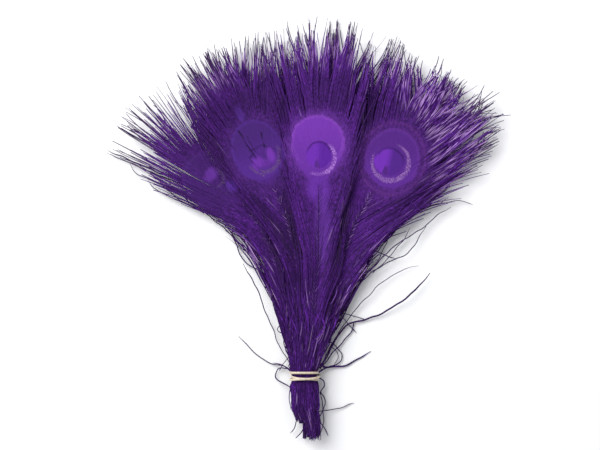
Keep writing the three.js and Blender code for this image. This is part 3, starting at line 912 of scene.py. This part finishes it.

# Each feather's eye, in mm from its middle. turn tips it to the left of the shaft, in degrees.
# disc: middle x and y, half width, half height. tail: where it ends below. rim, halo and ring lie round it.
# moon: middle, radius, thickness, the way that it faces and how far round it goes, in degrees.
# heart: middle and half sizes. lobes: brighter spots, each with its middle, half sizes and colour; on the
# front middle feather they are painted sheen.
# slits: gaps between barbs, as lines, painted dark as the shade in them. clear: how smooth and plain the eye
# is.
DULL_EYE = dict(
    turn=0, disc=(0, 4, 19, 21), tail=-24, disc_low=(70, 30, 112), disc_high=(74, 33, 118),
    rim=(84, 42, 128), halo=(80, 38, 122), halo_share=0.3, ring=0.0, moon=(0, -1, 13.5, 2.8, -90, 110),
    moon_colour=(100, 72, 124), heart=(0, 0, 10, 9.5), heart_left=(94, 40, 146), heart_right=(78, 32, 126),
    lobes=(), slits=(), clear=1.0)
EYES = {
    "feather_center_back": DULL_EYE,
    "feather_left_back": dict(DULL_EYE, disc_low=(84, 42, 140), disc_high=(88, 46, 146)),
    "feather_right_back": DULL_EYE,
    "feather_far_left": dict(
        DULL_EYE, moon=(3, 3, 7.5, 2.0, -60, 70), moon_colour=(92, 66, 118), heart=(3.5, 6.7, 0.5, 0.5),
        heart_left=(100, 48, 152), heart_right=(100, 48, 152), clear=0.4,
        lobes=((3.5, 6.7, 6.4, 4.8, (104, 50, 156)), (6.7, -10.3, 5, 5, (88, 44, 150)))),
    "feather_right_front": dict(
        DULL_EYE, turn=18, disc=(1.0, 3.5, 19.2, 21.5), tail=-22, disc_low=(90, 40, 140),
        disc_high=(80, 35, 126), rim=(100, 48, 146), halo=(82, 38, 118), halo_share=0.6, ring=0.22,
        moon=(0.5, 0.1, 14.4, 3.6, -58, 138), moon_colour=(148, 108, 172),
        heart=(-0.7, 0.9, 11.0, 10.1), heart_left=(108, 44, 170), heart_right=(78, 32, 130)),
    "feather_left_front": dict(
        DULL_EYE, disc=(-1.3, 6.0, 18.4, 21.8), disc_low=(86, 40, 142), disc_high=(72, 33, 118),
        rim=(88, 44, 148), halo=(76, 34, 116), halo_share=0.5, moon=(1.0, 0.5, 13.2, 3.2, -75, 92),
        moon_colour=(106, 76, 128), heart=(1.0, 0.4, 9.6, 8.2), heart_left=(78, 35, 128),
        heart_right=(78, 35, 128),
        lobes=((0.8, -4.6, 6.0, 3.6, (98, 44, 150)), (-4.6, -2.2, 4.8, 4.8, (112, 50, 168)),
               (6.4, -0.4, 3.4, 6.6, (116, 52, 172)), (-3.3, 34.6, 2.6, 7.0, (86, 42, 142))),
        slits=((-9.1, 22.9, -6.3, 9.0), (-6.3, 9.0, -3.5, 0.3), (-4.6, 17.2, -3.3, 4.5),
               (5.8, 17, 4.1, 6))),
    "feather_center_front": dict(
        DULL_EYE, disc=(-1.1, 8.3, 18.8, 18.8), tail=-29, disc_low=(100, 44, 152), disc_high=(112, 50, 164),
        rim=(134, 70, 180), halo=(100, 48, 146), halo_share=0.85, moon=(-0.4, -3.2, 12.9, 2.6, -32, 84),
        moon_colour=(168, 118, 200), heart=(0, -1.0, 9.1, 9.8), heart_left=(104, 42, 165),
        heart_right=(86, 30, 146),
        # Its lobes are painted sheen below the eye and down its column
        lobes=((-0.5, -25, 9, 12, (96, 43, 149)), (3, -52, 6.5, 28, (84, 39, 130)))),
}


def eye_colour(g, look, x, y, body, speckle, streaks):
    """The feather's eye over the body colour: halo, drop-shaped disc with its rim, crescent and heart."""
    disc_x, disc_y, half_wide, half_tall = look["disc"]
    disc = g.distance(x, y, disc_x, disc_y, half_wide, half_tall)
    drop_wide = g.span(y, look["tail"], disc_y - half_tall * 0.55, 0.05, half_wide * 0.97, "LINEAR")
    drop = g.math("DIVIDE", g.math("ABSOLUTE", g.minus(x, disc_x)), drop_wide)
    in_drop = g.times(g.span(drop, 1.05, 0.9), g.span(y, disc_y + 1, disc_y - 1),
                      g.span(y, look["tail"], -8))
    inside = g.math("MAXIMUM", g.within(disc), in_drop)

    halo = g.distance(x, y, disc_x, disc_y - 2, half_wide * 1.45, half_tall * 1.55)
    halo_share = g.times(g.span(halo, 1.0, 0.65), g.span(streaks, 0.25, 0.7, 0.4, 1.0), look["halo_share"])
    colour = g.blend(halo_share, body, srgb(*look["halo"]))
    ring = g.times(g.span(disc, 1.3, 1.23), g.span(disc, 1.14, 1.21), look["ring"])
    colour = g.blend(ring, colour, RING)

    plain = g.blend(g.span(y, disc_y - 16, disc_y + 14), srgb(*look["disc_low"]), srgb(*look["disc_high"]))
    colour = g.blend(g.times(inside, 0.95 * look["clear"]), colour, plain)
    on_rim = g.times(g.span(disc, 0.88, 0.95), g.span(disc, 1.06, 1.0))
    rim = g.times(on_rim, speckle, g.span(y, disc_y - 20, disc_y - 4), 0.7)
    colour = g.blend(rim, colour, srgb(*look["rim"]))

    moon_x, moon_y, moon_radius, thick, faces, around = look["moon"]
    moon = g.distance(x, y, moon_x, moon_y, 1.0, 1.0)
    face_x, face_y = math.cos(math.radians(faces)), math.sin(math.radians(faces))
    shift = 0.4 * thick
    hollow = g.distance(x, y, moon_x - shift * face_x, moon_y - shift * face_y, 1.0, 1.0)
    hollow_radius = moon_radius - thick + shift
    lean = g.plus(g.times(g.minus(x, moon_x), face_x), g.times(g.minus(y, moon_y), face_y))
    turned = g.math("DIVIDE", lean, g.math("MAXIMUM", moon, 0.1))
    limit = math.cos(math.radians(around))
    crescent = g.times(g.span(moon, moon_radius + 0.5, moon_radius - 0.3),
                       g.span(turned, limit - 0.12, limit + 0.25),
                       g.span(hollow, hollow_radius - 0.5, hollow_radius + 0.5))
    colour = g.blend(g.times(crescent, speckle), colour, srgb(*look["moon_colour"]))

    heart_x, heart_y, heart_wide, heart_tall = look["heart"]
    heart = g.distance(x, y, heart_x, heart_y, heart_wide, heart_tall)
    half_share = g.span(x, heart_x - 3.4, heart_x + 3.0)
    fill = g.blend(half_share, srgb(*look["heart_left"]), srgb(*look["heart_right"]))
    arc = g.times(g.span(heart, 0.78, 0.97), g.span(y, heart_y - 1.0, heart_y + heart_tall * 0.6), 0.75)
    fill = g.blend(arc, fill, HEART_ARC)
    below = g.minus(heart_y - 1.0, y)
    notch_wide = g.plus(0.2, g.times(g.math("MAXIMUM", below, 0.0), 0.2))
    notch_off = g.math("ABSOLUTE", g.minus(x, heart_x - 1.4))
    notch = g.times(g.span(g.minus(notch_off, notch_wide), 0.6, 0.0), g.span(below, 1.0, 5.0))
    colour = g.blend(g.times(g.within(heart), g.minus(1.0, notch)), colour, fill)
    colour = g.blend(g.times(g.span(heart, 1.03, 0.9), notch, 0.6), colour, HEART_NOTCH)
    # Lobes: brighter spots of the eye, or painted sheen
    for lobe_x, lobe_y, lobe_wide, lobe_tall, tone_and_painted_light in look["lobes"]:
        lobe = g.distance(x, y, lobe_x, lobe_y, lobe_wide, lobe_tall)
        colour = g.blend(g.span(lobe, 1.25, 0.45), colour, srgb(*tone_and_painted_light))
    # Painted shade along the slits where barbs part in the eye
    for slit in look["slits"]:
        colour = g.blend(g.span(g.from_line(x, y, *slit), 0.55, 0.15, 0.0, 0.85), colour, SLIT_SHADE)
    return colour, inside


def feather_material(name, look):
    """Purple barbs, with the eye laid out in the vane's own plane so that it parts where barbs part."""
    g = Graph(name)
    place, out, along, is_shaft = g.parts("place")
    strand, tint, bare, _ = g.parts("strand")
    # shade: random tone and painted shade; light: share of painted highlight
    _, shade, light, _ = g.parts("tone_and_painted_light")

    turn = math.radians(look["turn"])
    x = g.plus(g.times(out, math.cos(turn)), g.times(along, math.sin(turn)))
    y = g.minus(g.times(along, math.cos(turn)), g.times(out, math.sin(turn)))
    y = g.plus(y, g.times(g.minus(tint, 0.5), 0.8))

    streaks = g.noise(g.scaled(strand, (37.0, 0.0, 0.45)), 1.0, 3.0, 0.6)
    broad = g.noise(place, 0.06, 2.0)
    speckle = g.span(g.noise(place, 1.3, 3.0, 0.7), 0.42, 0.6, 0.1, 1.0)

    # Streak noise along the strands: darker and lighter tone, its lightest streaks partly painted sheen
    body = g.blend(g.span(streaks, 0.3, 0.72), BODY_DEEP, BODY)
    body = g.blend(g.span(streaks, 0.6, 0.85, 0.0, 0.6), body, STREAK_AND_SHEEN)
    body = g.blend(g.span(broad, 0.35, 0.7, 0.0, 0.35), body, BODY_DEEP)
    colour, inside = eye_colour(g, look, x, y, body, speckle, streaks)

    calm = g.minus(0.7, g.times(inside, 0.5))
    uneven = g.plus(1.0, g.times(g.minus(streaks, 0.5), calm))
    # shade darkens the colour: random tone and painted shade
    shaded = g.node("ShaderNodeVectorMath", operation="SCALE")
    g.put(shaded.inputs[0], colour)
    g.put(shaded.inputs["Scale"], g.times(uneven, shade))
    # Painted highlight: light mixes the lilac highlight into the colour
    colour = g.blend(light, shaded.outputs[0], LILAC_HIGHLIGHT)
    colour = g.blend(g.times(bare, 0.85), colour, HAIR)
    colour = g.blend(g.times(is_shaft, g.span(along, -16, -34)), colour, SHAFT_PURPLE)
    shader = g.surface(colour, g.span(streaks, 0.3, 0.8, 0.75, 0.55))
    shader.inputs["Specular IOR Level"].default_value = 0.12
    return g.material


def rubber_material():
    """Cream latex: slightly mottled, with a soft gloss."""
    g = Graph("cream_latex")
    where = g.node("ShaderNodeTexCoord").outputs["Object"]
    mottle = g.noise(where, 900.0, 3.0)
    bump = g.node("ShaderNodeBump")
    bump.inputs["Strength"].default_value = 0.15
    bump.inputs["Distance"].default_value = 0.0001
    g.put(bump.inputs["Height"], mottle)
    colour = g.blend(g.span(mottle, 0.35, 0.7), CREAM, CREAM_DARK)
    shader = g.surface(colour, g.span(mottle, 0.3, 0.7, 0.3, 0.45))
    g.put(shader.inputs["Normal"], bump.outputs[0])
    return g.material


def stage():
    """White surface, soft light from the upper left, and a camera that looks straight down."""
    bpy.ops.mesh.primitive_plane_add(size=6.0, location=(0, 0, 0))
    floor = bpy.context.object
    floor.name = "floor"
    white = bpy.data.materials.new("white_surface")
    white.use_nodes = True
    shader = white.node_tree.nodes["Principled BSDF"]
    shader.inputs["Base Color"].default_value = (0.9, 0.9, 0.9, 1)
    shader.inputs["Roughness"].default_value = 0.8
    shader.inputs["Specular IOR Level"].default_value = 0.0
    floor.data.materials.append(white)

    world = bpy.data.worlds.new("studio")
    world.use_nodes = True
    background = world.node_tree.nodes["Background"]
    background.inputs["Color"].default_value = (0.94, 0.95, 1.0, 1)
    background.inputs["Strength"].default_value = 0.6
    bpy.context.scene.world = world

    lamp = bpy.data.lights.new("key", "AREA")
    lamp.shape = "DISK"
    lamp.size = 1.4
    lamp.energy = 31
    key = bpy.data.objects.new("key", lamp)
    key.location = (-0.8, 0.8, 1.15)
    key.rotation_euler = (-key.location).to_track_quat("-Z", "Y").to_euler()
    bpy.context.scene.collection.objects.link(key)

    lens = bpy.data.cameras.new("camera")
    lens.sensor_width = 36.0
    lens.lens = 100.0
    camera = bpy.data.objects.new("camera", lens)
    camera.location = (*VIEW_MIDDLE, VIEW_HEIGHT + VIEW_WIDTH * lens.lens / lens.sensor_width)
    lens.clip_end = 20
    bpy.context.scene.collection.objects.link(camera)
    bpy.context.scene.camera = camera
    bpy.context.scene.view_settings.view_transform = "Standard"


stage()
for spec in FEATHERS:
    piece = feather(spec)
    piece.data.materials.append(feather_material(spec["name"] + "_dye", EYES[spec["name"]]))

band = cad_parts["rubber_band"]
band.data.materials.clear()
band.data.materials.append(rubber_material())
